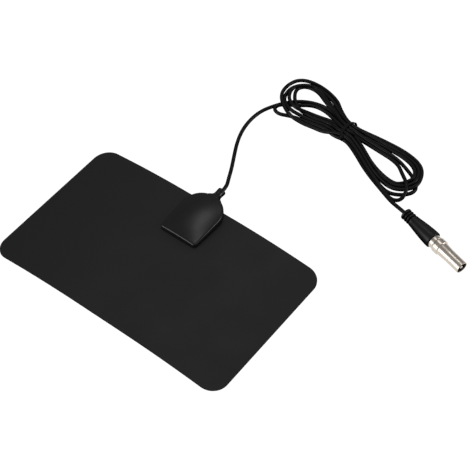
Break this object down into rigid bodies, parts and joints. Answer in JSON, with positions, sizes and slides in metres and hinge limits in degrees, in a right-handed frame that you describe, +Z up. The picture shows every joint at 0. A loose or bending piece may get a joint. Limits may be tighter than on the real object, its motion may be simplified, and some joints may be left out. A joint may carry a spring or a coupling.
{
  "type": "flat indoor tv antenna",
  "caption": "Flat black film aerial with rounded corners, a domed feed housing on one long edge, and a tied coaxial lead ending in a push-on aerial plug.",
  "frame": {"origin": "on the table, under the middle of the film, housing and cable bush taken together", "axes": "+X along the film's long side, +Y from its free long edge towards the feed housing, +Z up"},
  "size_m": [0.2861, 0.2783, 0.0131],
  "materials": {
    "film": "matt black printed polyester film",
    "foil": "bright rolled foil",
    "housing": "fine satin black moulding",
    "screw_steel": "zinc plated",
    "bush": "soft black moulding",
    "board": "green solder mask",
    "rivet": "tubular brass",
    "ferrite": "sintered dark grey",
    "enamelled_wire": "copper under clear enamel",
    "jacket": "satin black extruded jacket",
    "dielectric": "natural white foam",
    "copper": "bare drawn copper",
    "braid": "tinned copper braid",
    "solder": "bright solder",
    "boot": "satin black moulding",
    "nickel": "nickel plated",
    "insulator": "natural moulding",
    "tie": "matt black"
  },
  "bodies": {
    "root": {"front_film": "film", "rear_film": "film", "left_element": "foil", "right_element": "foil", "housing_cover": "housing", "housing_base": "housing", "housing_screws": "screw_steel", "cable_bush": "bush", "matching_board": "board", "contact_rivets": "rivet", "balun_core": "ferrite", "balun_winding": "enamelled_wire", "cable_end": "jacket", "coax_core": "dielectric", "coax_conductor": "copper", "coax_braid": "braid", "solder_joints": "solder", "plug_boot": "boot", "plug_shell": "nickel", "plug_pin": "nickel", "plug_insulator": "insulator", "cable_lead": "jacket", "cable_tail": "jacket", "cable_hank": "jacket", "cable_tie": "tie"}
  },
  "joints": []
}
